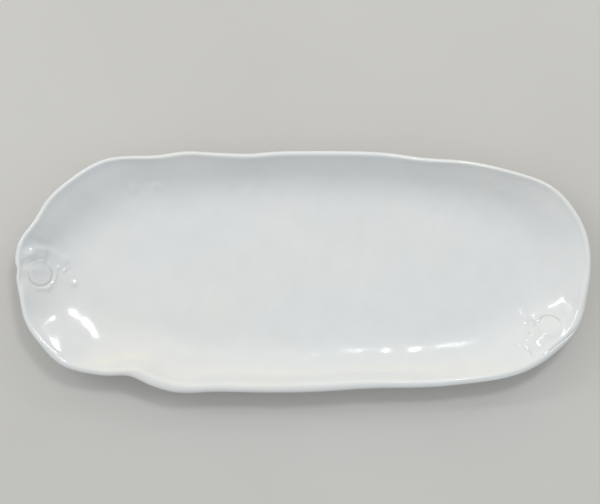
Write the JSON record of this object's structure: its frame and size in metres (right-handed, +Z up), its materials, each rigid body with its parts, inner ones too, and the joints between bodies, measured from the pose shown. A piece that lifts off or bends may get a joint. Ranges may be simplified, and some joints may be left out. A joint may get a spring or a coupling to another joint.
{
  "type": "serving platter",
  "caption": "Long oval hand-formed white glazed serving platter with a wavy rolled lip, a folded and buttoned dart towards each end, a foot ring and a rib.",
  "frame": {"origin": "middle of the lip's outline in plan, at the height of the surface that the foot stands on", "axes": "+X along the length, towards the end whose dart lies off centre; +Y across; +Z up, out of the dish"},
  "size_m": [0.5, 0.211, 0.0373],
  "materials": {
    "glaze": "clear gloss glaze over a white body",
    "foot": "glazed sides, bare fired clay where it stands"
  },
  "bodies": {
    "root": {"platter_body": "glaze", "lip_coil": "glaze", "foot_ring": "foot", "foot_rib": "foot", "left_dart_flap": "glaze", "left_button": "glaze", "right_dart_flap": "glaze", "right_button": "glaze"}
  },
  "joints": []
}
